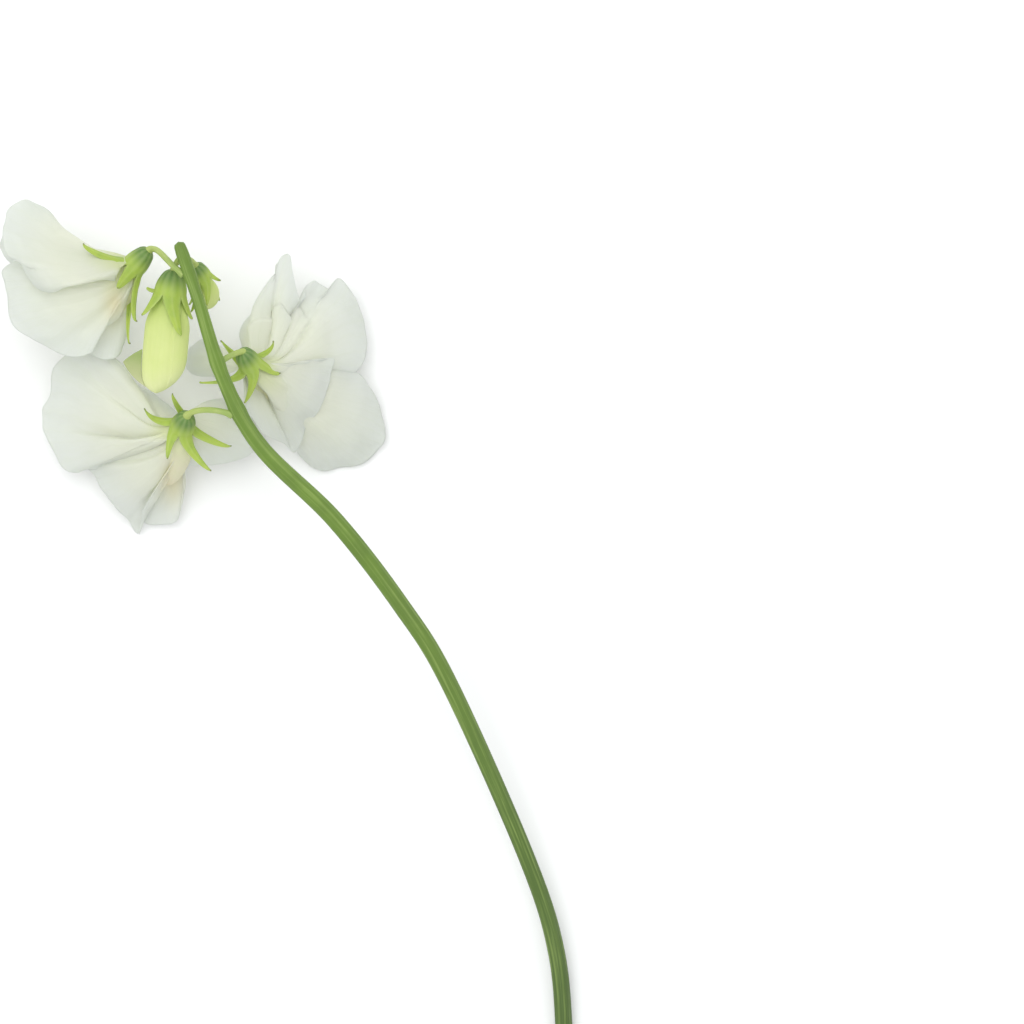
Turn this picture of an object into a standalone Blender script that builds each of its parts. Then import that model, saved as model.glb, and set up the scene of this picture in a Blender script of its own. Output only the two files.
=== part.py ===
# A cut sweet pea stem lying on a flat surface: three open blossoms and two buds on one curved stem.
# Numbers are millimetres and become metres where a mesh is made. X and Y run along the surface and Z is up.
# The origin is on the surface, under the middle of the whole flower.
import bpy
import numpy as np

MM = 0.001
TOUCH_GAP = 0.3         # clearance that stands for two pieces touching
PETAL_THICK = 0.5
CALYX_THICK = 0.5
CENTRE = np.array([-0.5, 2.0, 0.0])     # middle of the flower's foot, taken off every place below

# Stem: its centre line from the cut end to the tip, with the radius at each place.
STEM_ROUTE = [
    (66.2, -100.8, 2.1, 2.1), (64.1, -76.3, 4.6, 2.05), (56.9, -52.8, 8.4, 2.0), (38.2, -10.6, 18.0, 2.05),
    (26.5, 8.5, 22.6, 2.1), (10.8, 28.8, 27.6, 2.1), (-6.8, 46.2, 32.2, 2.05), (-15.6, 62.4, 35.0, 1.8),
    (-21.8, 81.6, 37.0, 1.55), (-26.4, 95.2, 38.0, 1.3),
]
STEM_RINGS = 48
STEM_SIDES = 5          # bevel resolution

# A pedicel leaves the stem square to it and arrives along the calyx: lead and arrive are the lengths of
# those two runs, as shares of its reach.
PEDICEL = dict(radius=0.8, rings=12, sides=2, lead=0.4, arrive=0.35)

# Calyx: a bell with five pointed lobes. swell makes the bell widen early. A lobe sets off along the bell's
# edge for lead of its length, flared outwards, and its tip curls out by curl of its length. Its width falls
# as share to the power taper, down to the share tip.
BELL = dict(foot=1.3, mouth=3.7, depth=6.2, rows=4, swell=0.8)
LOBE = dict(count=5, columns=3, rows=4, lead=0.3, flare=0.4, curl=0.125, taper=1.3, tip=0.12)

# Claws, in a blossom's own places: forward, to its left and up from the foot of the calyx.
STANDARD_CLAW = [(2.4, 0, 1.3), (5.8, 0, 2.3), (8.6, 0, 3.6)]
WING_CLAW = [(2.4, 1.2, -0.2), (5.8, 1.95, -0.5), (8.4, 2.5, -0.8)]
CLAW_WIDE = (0.7, 1.3)  # half its width at the foot and at the top

# Blades: rays run from the claw to the rim and rings cross them. lead is how far a middle ray keeps to the
# claw's line and side_lead how much of that a side ray loses, midrib is the depth of the crease down the
# middle, midrib_wide its width as a share of the blade's, and tail the last share of a ray, nearly straight.
STANDARD = dict(rays=22, rings=7, lead=0.34, midrib=1.6)
WING = dict(rays=12, rings=6, lead=0.30, midrib=0.0)
BLADE = dict(side_lead=0.6, midrib_wide=0.10, tail=0.35)

# Pods (keels and buds): slim at the foot, deepest past the middle, blunt at the tip. end and blunt shape the
# tip: it closes by end of its depth, along a power of blunt.
POD = dict(end=0.96, blunt=2.4)
KEEL_FOOT = (2.6, 0, -0.7)
KEEL = dict(tall=8.0, wide=4.2, foot=0.28, lead=8.0, rings=10, sides=10)
BUD_FOOT = (1.6, 0, 0)
BUD = dict(foot=0.22, lead=12.0, rings=12, sides=12)

# Each blossom: the foot of its calyx, the way it faces, the way its standard stands, where it joins the
# stem, the tips of its calyx lobes from the top lobe round by its left, the tip of its keel, and the rim
# of each petal from its right or upper corner round to its left or lower one.
BLOSSOMS = {
    "third": dict(
        seat=(-33.6, 93.4, 27.0), faces=(-0.66, -0.66, -0.35), up=(-0.60, 0.75, 0.10),
        on_stem=0.966, leaves=(-0.75, 0.60, -0.05),
        lobe_tips=[(-48.0, 94.6, 31.5), (-40.8, 84.8, 35.0), (-37.8, 76.4, 27.5), (-37.0, 74.5, 16.5),
                   (-42.0, 96.0, 13.5)],
        keel_tip=(-45.5, 75.5, 17.0), arch=(0.0, 0.45),
        standard=[(-43.5, 83.0, 12.5), (-50.0, 80.0, 3.0), (-58.0, 82.0, 0.6), (-65.0, 90.0, 3.5),
                  (-66.0, 99.5, 11.5), (-61.9, 104.6, 21.0), (-66.8, 102.9, 27.5), (-69.2, 97.5, 32.0),
                  (-66.8, 91.4, 35.5), (-58.5, 84.0, 37.0), (-49.5, 84.3, 34.0)],
        wing_left=[(-57.0, 91.0, 21.0), (-67.0, 88.5, 22.0), (-68.0, 79.0, 25.0), (-60.0, 71.2, 26.5),
                   (-51.0, 68.0, 25.5), (-45.8, 71.8, 25.0), (-42.4, 79.0, 25.5)],
        wing_right=[(-50.0, 86.5, 14.0), (-57.0, 80.0, 9.0), (-57.5, 72.5, 6.0), (-50.0, 67.0, 4.0),
                    (-41.5, 67.4, 5.0), (-38.5, 76.0, 12.0)]),
    "first": dict(
        seat=(-24.5, 53.8, 27.0), faces=(-0.25, -0.50, -0.83), up=(-0.75, 0.62, 0.0),
        on_stem=0.809, leaves=(-0.9, 0.3, 0.25),
        lobe_tips=[(-35.6, 56.2, 25.5), (-29.4, 43.0, 25.5), (-19.0, 40.6, 22.5), (-14.0, 46.6, 22.0),
                   (-28.3, 59.2, 26.5)],
        keel_tip=(-30.4, 36.6, 8.0), arch=(0.06, 0.0),
        standard=[(-16.3, 50.9, 17.4), (-12.4, 46.0, 10.6), (-10.0, 49.8, 7.5), (-14.0, 57.2, 8.0),
                  (-23.0, 60.5, 10.5), (-33.0, 63.5, 11.0), (-42.5, 65.5, 12.5), (-52.5, 68.4, 10.0),
                  (-59.3, 59.5, 10.0), (-59.0, 48.0, 8.5), (-52.5, 40.8, 6.0), (-45.0, 41.5, 8.4),
                  (-37.2, 44.0, 13.4)],
        wing_left=[(-40.0, 45.5, 3.8), (-47.0, 39.6, 1.0), (-41.8, 32.2, 0.7), (-37.2, 25.4, 0.6),
                   (-35.0, 31.0, 5.0), (-33.6, 38.5, 12.5)],
        wing_right=[(-23.5, 43.5, 6.5), (-24.4, 37.5, 2.6), (-24.8, 31.0, 1.0), (-28.0, 28.0, 0.6),
                    (-32.5, 28.6, 0.6), (-32.0, 34.5, 1.8)]),
    "second": dict(
        seat=(-11.3, 69.1, 29.0), faces=(0.36, -0.58, -0.73), up=(0.10, 0.93, 0.0),
        on_stem=0.865, leaves=(0.7, 0.3, -0.6),
        lobe_tips=[(-3.4, 72.4, 25.5), (-16.8, 73.0, 26.5), (-21.3, 61.2, 24.0), (-10.1, 56.6, 23.5),
                   (-1.8, 64.0, 23.5)],
        keel_tip=(1.2, 49.5, 6.0), arch=(0.06, 0.0),
        standard=[(9.5, 60.5, 10.0), (18.0, 64.0, 4.5), (19.0, 74.0, 2.0), (14.5, 85.0, 3.0),
                  (7.5, 86.5, 6.5), (2.8, 80.5, 11.0), (-1.8, 91.6, 9.5), (-7.5, 83.0, 11.5),
                  (-13.0, 74.6, 11.5), (-22.5, 71.0, 6.5), (-23.5, 63.8, 6.0), (-16.5, 61.5, 11.0)],
        wing_left=[(-9.5, 60.5, 14.0), (-7.0, 53.0, 8.5), (-6.0, 45.0, 2.0), (-2.5, 40.6, 0.6),
                   (-0.8, 45.5, 1.8), (-4.0, 53.0, 7.0)],
        wing_right=[(4.0, 60.0, 6.0), (13.5, 57.5, 1.0), (18.5, 50.5, 0.6), (13.5, 43.5, 0.6),
                    (7.2, 44.8, 0.7), (4.8, 52.5, 3.5)]),
}
# Each bud: the same, with the middle of its tip, how deep and thick it is, and whether a wing shows.
BUDS = {
    "large": dict(
        seat=(-27.6, 88.6, 31.0), faces=(-0.15, -0.96, -0.22), up=(0.98, -0.10, 0.15),
        on_stem=0.984, leaves=(-0.2, 0.2, -1.0),
        tip=(-31.6, 58.6, 24.0), tall=10.6, wide=6.6, open=True,
        lobe_tips=[(-23.2, 77.5, 28.4), (-27.0, 76.0, 22.4), (-34.2, 85.6, 27.0), (-35.0, 78.0, 31.6),
                   (-25.0, 72.8, 32.4)]),
    "small": dict(
        seat=(-21.4, 89.8, 30.0), faces=(0.12, -0.80, -0.58), up=(0.98, 0.10, 0.06),
        on_stem=0.980, leaves=(0.6, 0.2, -0.8),
        tip=(-20.0, 77.0, 20.5), tall=7.4, wide=5.4, open=False,
        lobe_tips=[(-16.2, 86.4, 29.0), (-16.8, 81.6, 20.6), (-24.4, 80.6, 20.2), (-24.2, 80.4, 26.0),
                   (-19.2, 79.6, 29.4)]),
}
# The edge of a wing that shows at the open side of the large bud: where it starts and ends along the bud,
# as shares of the bud's length, how far it stands out at its ends and at its middle, how far its rim lifts,
# and how many rows and columns it has.
BUD_WING = dict(start=0.42, end=0.86, edge=0.4, out=4.6, lift=0.6, rows=9, columns=4)
BUD_STEPS = 200         # steps along the bud from which the wing takes its foot

FINISHES = {
    "stem_green": ((0.26, 0.38, 0.12), 0.55),
    "pedicel_green": ((0.42, 0.54, 0.20), 0.55),
    "calyx_green": ((0.40, 0.55, 0.12), 0.60),
    "petal_white": ((0.82, 0.83, 0.74), 0.65),
    "keel_cream": ((0.76, 0.72, 0.50), 0.65),
    "bud_yellow_green": ((0.70, 0.78, 0.36), 0.60),
}


def unit(vector):
    vector = np.asarray(vector, float)
    return vector / np.linalg.norm(vector)


def axes_of(how):
    """Rows are a flower's own axes: forward, to its left, and up."""
    forward = unit(how["faces"])
    left = unit(np.cross(how["up"], forward))
    return np.array([forward, left, np.cross(forward, left)])


def placed(how, points):
    """Turns a flower's own places into places over the surface."""
    return np.asarray(points, float) @ axes_of(how) + np.array(how["seat"])


def smooth_route(points, count):
    """A Catmull-Rom curve through the points, at even steps along its length."""
    points = np.asarray(points, float)
    ends = np.vstack([2 * points[0] - points[1], points, 2 * points[-1] - points[-2]])
    t = np.linspace(0, 1, 24, endpoint=False)[:, None]
    spans = [0.5 * (2 * b + (c - a) * t + (2 * a - 5 * b + 4 * c - d) * t**2 + (3 * b - a - 3 * c + d) * t**3)
             for a, b, c, d in zip(ends, ends[1:], ends[2:], ends[3:])]
    dense = np.vstack(spans + [points[-1:]])
    along = np.concatenate([[0], np.cumsum(np.linalg.norm(np.diff(dense[:, :3], axis=0), axis=1))])
    even = np.linspace(0, along[-1], count)
    return np.stack([np.interp(even, along, dense[:, k]) for k in range(dense.shape[1])], axis=1)


def bezier(p0, p1, p2, p3, t):
    return (1 - t)**3 * p0 + 3 * (1 - t)**2 * t * p1 + 3 * (1 - t) * t**2 * p2 + t**3 * p3


# Meshes

def finish_of(name):
    colour, roughness = FINISHES[name]
    made = bpy.data.materials.new(name)
    made.use_nodes = True
    shader = made.node_tree.nodes["Principled BSDF"]
    shader.inputs["Base Color"].default_value = (*colour, 1)
    shader.inputs["Roughness"].default_value = roughness
    shader.inputs["Metallic"].default_value = 0.0
    return made


def add_mesh(name, points, faces, finish):
    mesh = bpy.data.meshes.new(name)
    mesh.from_pydata(((np.asarray(points) - CENTRE) * MM).tolist(), [], faces)
    mesh.materials.append(finish)
    mesh.shade_smooth()
    obj = bpy.data.objects.new(name, mesh)
    bpy.context.scene.collection.objects.link(obj)
    return obj


def grid_faces(rows, columns, around=False):
    """Quads of a grid stored row by row, closed round its columns if asked."""
    wide = columns if around else columns - 1
    return [(r * columns + c, r * columns + (c + 1) % columns,
             (r + 1) * columns + (c + 1) % columns, (r + 1) * columns + c)
            for r in range(rows - 1) for c in range(wide)]


def thicken(obj, thickness):
    """Gives a sheet its wall, half on each side."""
    wall = obj.modifiers.new("wall", "SOLIDIFY")
    wall.thickness = thickness * MM
    wall.offset = 0.0


def add_skin(name, rings, finish):
    """A closed body through rings of points, with a fan of triangles at each end."""
    rows, columns = rings.shape[:2]
    points = np.vstack([rings.reshape(-1, 3), rings[0].mean(0), rings[-1].mean(0)])
    first, last = rows * columns, rows * columns + 1
    faces = grid_faces(rows, columns, around=True)
    for c in range(columns):
        n = (c + 1) % columns
        faces.append((first, n, c))
        faces.append((last, (rows - 1) * columns + c, (rows - 1) * columns + n))
    return add_mesh(name, points, faces, finish)


def add_rod(name, route, radii, finish, sides):
    """A round rod along a route: a bevelled curve with filled ends."""
    curve = bpy.data.curves.new(name, "CURVE")
    curve.dimensions = "3D"
    curve.bevel_depth = MM
    curve.bevel_resolution = sides
    curve.use_fill_caps = True
    spline = curve.splines.new("POLY")
    spline.points.add(len(route) - 1)
    for point, place, radius in zip(spline.points, route, radii):
        point.co = (*((place - CENTRE) * MM), 1)
        point.radius = radius
    curve.materials.append(finish)
    obj = bpy.data.objects.new(name, curve)
    bpy.context.scene.collection.objects.link(obj)


# Petals

def petal_grid(claw, width_way, rim, shape, arch, forward):
    """A claw strip that opens into a fan. Each ray is a cubic curve that leaves along the claw and ends on
    the rim. arch moves a ray's middle, as shares of its length: along forward, and out to its own side. The
    midrib is a crease where the middle rays stand back."""
    across = np.linspace(-1, 1, shape["rays"])
    wide = np.linspace(*CLAW_WIDE, len(claw))
    rows = [claw[i] + np.outer(across * wide[i], width_way) for i in range(len(claw))]
    ends = smooth_route(rim, shape["rays"])
    out = ends - rows[-1]
    reach = np.linalg.norm(out, axis=1)[:, None]
    kept = shape["lead"] * (1 - BLADE["side_lead"] * across**2)[:, None]
    lead = rows[-1] + kept * reach * unit(claw[-1] - claw[-2])
    shift = arch[0] * forward + arch[1] * np.outer(np.tanh(3 * across), width_way)
    bow = ends - BLADE["tail"] * out + reach * shift
    crease = shape["midrib"] * np.exp(-(across / BLADE["midrib_wide"])**2)[:, None] * forward
    for share in np.linspace(0, 1, shape["rings"] + 1)[1:]:
        rows.append(bezier(rows[len(claw) - 1], lead, bow, ends, share) - crease * np.sin(np.pi * share))
    return np.array(rows)


def add_petal(name, grid, finish):
    rows, columns = grid.shape[:2]
    thicken(add_mesh(name, grid.reshape(-1, 3), grid_faces(rows, columns), finish), PETAL_THICK)


def add_standard(name, how, finish):
    forward, left, _ = axes_of(how)
    grid = petal_grid(placed(how, STANDARD_CLAW), left, how["standard"], STANDARD, how["arch"], forward)
    add_petal(name, grid, finish)


def add_wing(name, how, rim, side, finish):
    """side is 1 for the wing on the blossom's left and -1 for the one on its right."""
    forward, left, up = axes_of(how)
    claw = placed(how, np.array(WING_CLAW) * [1, side, 1])
    add_petal(name, petal_grid(claw, -up, rim, WING, (0.06, 0.0), forward + side * left), finish)


def pod_rings(how, start, tip, size):
    """Rings of a closed pod that leaves the calyx along its axis and bends to its tip: slim at its foot,
    deepest past its middle and blunt at the tip."""
    forward, _, up = axes_of(how)
    start, tip = placed(how, [start])[0], np.array(tip)
    elbow = start + forward * size["lead"]
    turn = np.arange(size["sides"]) * 2 * np.pi / size["sides"]
    made = []
    for t in np.linspace(0, 1, size["rings"]):
        grow = size["foot"] + (1 - size["foot"]) * np.sin(np.pi * min(t, 0.5))**2
        full = grow * np.sqrt(1 - POD["end"] * max(0, 2 * t - 1)**POD["blunt"]) / 2
        way = unit((1 - t) * (elbow - start) + t * (tip - elbow))
        rise = unit(up - way * (up @ way))
        middle = (1 - t)**2 * start + 2 * (1 - t) * t * elbow + t**2 * tip
        made.append(middle + np.outer(full * size["tall"] * np.cos(turn), rise)
                    + np.outer(full * size["wide"] * np.sin(turn), np.cross(way, rise)))
    return np.array(made)


def bud_wing_grid(how, size):
    """A crescent that stands out from the bud's lower side, clear of it by the touching gap."""
    up = axes_of(how)[2]
    sheet = dict(size, rings=BUD_STEPS + 1, sides=2)
    shares = np.linspace(BUD_WING["start"], BUD_WING["end"], BUD_WING["rows"])
    side = pod_rings(how, BUD_FOOT, how["tip"], sheet)[(shares * BUD_STEPS).astype(int), 1]
    inner = side - up * (TOUCH_GAP + PETAL_THICK)
    swell = np.sin(np.pi * (shares - shares[0]) / (shares[-1] - shares[0]))[:, None]
    reach = np.linspace(0, 1, BUD_WING["columns"])[:, None, None]
    stand = BUD_WING["edge"] + BUD_WING["out"] * swell
    lift = BUD_WING["lift"] * swell * [0, 0, 1]
    return (inner - up * reach * stand + reach**2 * lift).transpose(1, 0, 2)


# Calyx

def lobe_rows(mouth, tip, out, forward):
    """A pointed lobe: its middle runs from the bell's edge to the tip, first along the bell, and its width
    falls away along an arc. out points away from the bell's axis."""
    middle = mouth.mean(0)
    reach = np.linalg.norm(tip - middle)
    half = mouth - middle
    lead = middle + LOBE["lead"] * reach * unit(forward + LOBE["flare"] * out)
    bow = tip + LOBE["curl"] * reach * (out + forward)
    rows = []
    for share in np.linspace(0, 1, LOBE["rows"] + 1)[1:]:
        wide = LOBE["tip"] + (1 - LOBE["tip"]) * (1 - share**LOBE["taper"])
        rows.append(bezier(middle, lead, bow, tip, share) + half * wide)
    return rows


def add_calyx(name, how, finish):
    """A bell closed at its foot, whose edge carries the lobes as strips that share its points."""
    count, per = LOBE["count"], LOBE["columns"]
    columns = count * per
    forward, left, up = axes_of(how)
    turn = (np.arange(columns) - per / 2) * 2 * np.pi / columns
    spokes = np.outer(np.cos(turn), up) + np.outer(np.sin(turn), left)
    points = [np.array(how["seat"])[None]]
    for t in np.linspace(0, 1, BELL["rows"]):
        radius = BELL["foot"] + (BELL["mouth"] - BELL["foot"]) * np.sin(np.pi / 2 * t**BELL["swell"])
        points.append(np.array(how["seat"]) + forward * BELL["depth"] * t + spokes * radius)
    faces = [(0, 1 + (c + 1) % columns, 1 + c) for c in range(columns)]
    faces += [tuple(1 + i for i in face) for face in grid_faces(BELL["rows"], columns, around=True)]
    edge = 1 + (BELL["rows"] - 1) * columns
    for k, tip in enumerate(how["lobe_tips"]):
        own = [edge + (k * per + c) % columns for c in range(per + 1)]
        mouth = points[BELL["rows"]][[i - edge for i in own]]
        angle = k * 2 * np.pi / count
        out = np.cos(angle) * up + np.sin(angle) * left
        last = own
        for row in lobe_rows(mouth, np.array(tip), out, forward):
            new = [sum(map(len, points)) + c for c in range(per + 1)]
            points.append(row)
            faces += [(last[c], last[c + 1], new[c + 1], new[c]) for c in range(per)]
            last = new
    thicken(add_mesh(name, np.vstack(points), faces, finish), CALYX_THICK)


# Assembly

def add_pedicel(name, how, stem, finish):
    """Leaves the stem's side and arrives at the foot of the calyx along its axis."""
    at = how["on_stem"] * (len(stem) - 1)
    x, y, z, thick = (np.interp(at, range(len(stem)), stem[:, k]) for k in range(4))
    root = np.array([x, y, z])
    way = unit(stem[int(at) + 1, :3] - stem[int(at), :3])
    forward = unit(how["faces"])
    end = np.array(how["seat"]) - (TOUCH_GAP + CALYX_THICK / 2) * forward
    reach = np.linalg.norm(end - root)
    out = np.array(how["leaves"])
    out = unit(out - way * (out @ way))
    start = root + out * (thick + TOUCH_GAP)
    t = np.linspace(0, 1, PEDICEL["rings"])[:, None]
    lead, arrive = start + PEDICEL["lead"] * reach * out, end - PEDICEL["arrive"] * reach * forward
    route = bezier(start, lead, arrive, end, t)
    add_rod(name, route, np.full(PEDICEL["rings"], PEDICEL["radius"]), finish, PEDICEL["sides"])


def add_blossom(name, how, stem, finishes):
    add_pedicel(name + "_pedicel", how, stem, finishes["pedicel_green"])
    add_calyx(name + "_calyx", how, finishes["calyx_green"])
    add_standard(name + "_standard", how, finishes["petal_white"])
    add_wing(name + "_wing_left", how, how["wing_left"], 1, finishes["petal_white"])
    add_wing(name + "_wing_right", how, how["wing_right"], -1, finishes["petal_white"])
    add_skin(name + "_keel", pod_rings(how, KEEL_FOOT, how["keel_tip"], KEEL), finishes["keel_cream"])


def add_bud(name, how, stem, finishes):
    add_pedicel(name + "_pedicel", how, stem, finishes["pedicel_green"])
    add_calyx(name + "_calyx", how, finishes["calyx_green"])
    size = dict(BUD, tall=how["tall"], wide=how["wide"])
    add_skin(name + "_standard", pod_rings(how, BUD_FOOT, how["tip"], size), finishes["bud_yellow_green"])
    if how["open"]:
        add_petal(name + "_wing", bud_wing_grid(how, size), finishes["keel_cream"])


def main():
    for obj in list(bpy.data.objects):
        bpy.data.objects.remove(obj)
    finishes = {name: finish_of(name) for name in FINISHES}
    stem = smooth_route(STEM_ROUTE, STEM_RINGS)
    add_rod("stem", stem[:, :3], stem[:, 3], finishes["stem_green"], STEM_SIDES)
    for name, how in BLOSSOMS.items():
        add_blossom(name, how, stem, finishes)
    for name, how in BUDS.items():
        add_bud(name + "_bud", how, stem, finishes)


main()
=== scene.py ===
import bpy
import numpy as np
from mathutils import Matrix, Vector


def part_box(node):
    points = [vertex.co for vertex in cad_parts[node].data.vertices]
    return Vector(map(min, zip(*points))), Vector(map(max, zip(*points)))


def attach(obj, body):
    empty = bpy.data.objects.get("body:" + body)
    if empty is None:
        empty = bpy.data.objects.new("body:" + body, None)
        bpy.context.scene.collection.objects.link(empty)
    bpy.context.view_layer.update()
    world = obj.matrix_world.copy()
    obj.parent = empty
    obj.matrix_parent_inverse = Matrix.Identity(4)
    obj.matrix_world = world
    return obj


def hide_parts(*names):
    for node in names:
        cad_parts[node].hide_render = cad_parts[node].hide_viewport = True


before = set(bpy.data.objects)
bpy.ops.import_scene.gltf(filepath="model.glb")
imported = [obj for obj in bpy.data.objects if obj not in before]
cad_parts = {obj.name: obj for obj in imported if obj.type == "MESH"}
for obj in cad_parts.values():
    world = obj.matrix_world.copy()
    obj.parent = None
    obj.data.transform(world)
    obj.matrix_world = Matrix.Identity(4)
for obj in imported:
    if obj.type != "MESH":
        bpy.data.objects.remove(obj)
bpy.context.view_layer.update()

mm = 0.001

# Every flower. seat is its calyx's foot, faces the way it looks and top the way its top points. mouth is
# the calyx's mouth radius and depth its depth, in mm, and turned turns its lobes, in radians. The stalk
# leaves the stem at onStem, a share of its length, along leaves plus climb times the stem's way, and
# comes in straight over the share arrive. lobes are the five lobe tips from the top one round by the
# left, each with a twist at its tip in radians, a hook that bends its end and a flare that sends it
# outwards. seat and lobes are shares of the calyx's box.
flowers = {
    "third": dict(
        seat=(0.925, 0.874, 0.629), faces=(-0.66, -0.66, -0.35), top=(-0.60, 0.75, 0.10),
        mouth=2.8, depth=5.6, turned=0.45,
        onStem=0.966, leaves=(-0.75, 0.60, -0.05), climb=1.2, arrive=0.22,
        lobes=[(-0.05, 0.945, 0.80), (0.47, 0.46, 0.90), (0.75, 0.10, 0.67), (0.64, -0.14, 0.50),
               (0.10, 0.80, 0.30)],
        twists=[-1.0, 0.2, 0.9, 0.0, 0.2],
        hooks=[0.0, 0.0, 0.05, 0.0, 0.0], flares=[1.3, 0.5, 0.2, 0.3, 0.8]),
    "first": dict(
        seat=(0.517, 0.703, 0.892), faces=(-0.25, -0.50, -0.83), top=(-0.75, 0.62, 0.0),
        mouth=2.8, depth=5.2, turned=0.0,
        onStem=0.809, leaves=(-0.9, 0.3, 0.25), climb=1.2, arrive=0.25,
        lobes=[(0.05, 0.80, 0.73), (0.30, 0.17, 0.66), (0.77, 0.02, 0.36), (0.99, 0.33, 0.30),
               (0.36, 0.98, 0.90)],
        twists=[-0.5, 0.2, 0.4, 0.5, 0.2],
        hooks=[0.45, 0.0, 0.06, 0.08, 0.05], flares=[0.4, 0.4, 0.4, 0.5, 0.4]),
    "second": dict(
        seat=(0.512, 0.751, 0.874), faces=(0.36, -0.58, -0.73), top=(0.10, 0.93, 0.0),
        mouth=2.7, depth=5.2, turned=0.0,
        onStem=0.865, leaves=(0.6, 0.2, -0.8), climb=0.1, arrive=0.12,
        lobes=[(0.88, 0.91, 0.48), (0.25, 0.91, 0.60), (0.02, 0.33, 0.32), (0.53, 0.04, 0.26),
               (0.96, 0.46, 0.26)],
        twists=[0.9, 0.8, 0.8, 0.1, 0.6],
        hooks=[0.35, 0.15, -0.35, 0.0, 0.22], flares=[0.5, 0.4, 0.4, 0.3, 0.4]),
    "large_bud": dict(
        seat=(0.62, 0.965, 0.769), faces=(-0.15, -0.96, -0.22), top=(0.98, -0.10, 0.15),
        mouth=3.7, depth=5.6, turned=0.0,
        onStem=0.984, leaves=(-0.2, 0.2, -1.0), climb=0.0, arrive=0.3,
        lobes=[(0.97, 0.27, 0.55), (0.67, 0.21, 0.04), (0.10, 0.72, 0.43), (0.02, 0.32, 0.82),
               (0.76, 0.03, 0.89)],
        twists=[0.2, 0.2, 0.2, 0.2, 0.1],
        hooks=[0.0, 0.0, 0.0, -0.05, -0.05], flares=[0.2, 0.2, 0.2, 0.2, 0.15]),
    "small_bud": dict(
        seat=(0.28, 0.90, 0.80), faces=(0.40, -0.73, -0.55), top=(0.90, 0.40, 0.10),
        mouth=2.3, depth=3.6, turned=0.0,
        onStem=0.980, leaves=(0.1, 0.2, -1.0), climb=0.0, arrive=0.3,
        lobes=[(0.92, 0.60, 0.85), (0.87, 0.20, 0.10), (0.10, 0.11, 0.08), (0.16, -0.05, 0.53),
               (0.58, 0.08, 0.82)],
        twists=[0.1, 0.2, 0.2, 0.2, 0.2],
        hooks=[0.0, 0.0, 0.0, 0.0, -0.05], flares=[0.1, 0.1, 0.1, 0.1, 0.1]),
}


# Vectors divided by their lengths.
def unit(vectors):
    vectors = np.asarray(vectors, float)
    return vectors / np.linalg.norm(vectors, axis=-1, keepdims=True)


# A place inside a node's box: its low corner plus shares of the box's sides.
def spot(node, shares):
    low, high = map(np.array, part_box(node))
    return low + (high - low) * np.asarray(shares, float)


# A flower's own ways as rows: forward, left and up.
def axesOf(name):
    forward = unit(flowers[name]["faces"])
    left = unit(np.cross(flowers[name]["top"], forward))
    return np.array([forward, left, np.cross(forward, left)])


# The foot of a flower's calyx.
def seatOf(name):
    return spot(name + "_calyx", flowers[name]["seat"])


# A curve through places: cubic pieces whose slope at a place follows its two neighbours, at even steps
# along the first three numbers. A fourth number, if any, is carried along.
def smoothRoute(places, count, stepsPerPiece=24):
    places = np.asarray(places, float)
    ends = np.vstack([2 * places[0] - places[1], places, 2 * places[-1] - places[-2]])
    a, b, c, d = (ends[k:len(ends) - 3 + k, None] for k in range(4))
    t = np.linspace(0, 1, stepsPerPiece, endpoint=False)[:, None]
    square = (2 * a - 5 * b + 4 * c - d) * t**2
    spans = 0.5 * (2 * b + (c - a) * t + square + (3 * b - a - 3 * c + d) * t**3)
    dense = np.vstack([spans.reshape(-1, places.shape[1]), places[-1:]])
    along = np.concatenate([[0], np.cumsum(np.linalg.norm(np.diff(dense[:, :3], axis=0), axis=1))])
    even = np.linspace(0, along[-1], count)
    return np.stack([np.interp(even, along, dense[:, k]) for k in range(dense.shape[1])], axis=1)


# A cubic curve from p0 to p3 that leaves towards p1 and arrives from p2.
def bezier(p0, p1, p2, p3, t):
    return (1 - t)**3 * p0 + 3 * (1 - t)**2 * t * p1 + 3 * (1 - t) * t**2 * p2 + t**3 * p3


# 0 up to start, 1 from end on, and an even-ended rise between.
def smoothStep(start, end, x):
    t = np.clip((x - start) / (end - start), 0, 1)
    return t * t * (3 - 2 * t)


# Soft unevenness: waves in seeded random directions, each about one wavelength long, added up.
def softNoise(points, wavelength, seed, waves=14):
    draw = np.random.default_rng(seed)
    ways = unit(draw.normal(size=(waves, 3))) * draw.uniform(0.6, 1.5, (waves, 1)) / wavelength
    phases = draw.uniform(0, 2 * np.pi, waves)
    return np.sin(2 * np.pi * (points @ ways.T) + phases).sum(axis=-1) / np.sqrt(waves)


# A sheet is points, faces of four, and each face corner's place on the sheet's own map. A grid's map runs
# from 0 to 1 across its columns and along its rows.
def gridSheet(grid):
    rows, columns = grid.shape[:2]
    index = np.arange(rows * columns).reshape(rows, columns)
    faces = np.stack([index[:-1, :-1], index[:-1, 1:], index[1:, 1:], index[1:, :-1]], axis=-1)
    faces = faces.reshape(-1, 4)
    u, v = np.meshgrid(np.linspace(0, 1, columns), np.linspace(0, 1, rows))
    return grid.reshape(-1, 3), faces, np.stack([u, v], axis=-1).reshape(-1, 2)[faces]


# Several sheets as one: faces count on from the points before them.
def joined(sheets):
    starts = np.cumsum([0] + [len(points) for points, _, _ in sheets])
    faces = [faces + start for (_, faces, _), start in zip(sheets, starts)]
    return (np.concatenate([points for points, _, _ in sheets]), np.concatenate(faces),
            np.concatenate([corners for _, _, corners in sheets]))


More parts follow.
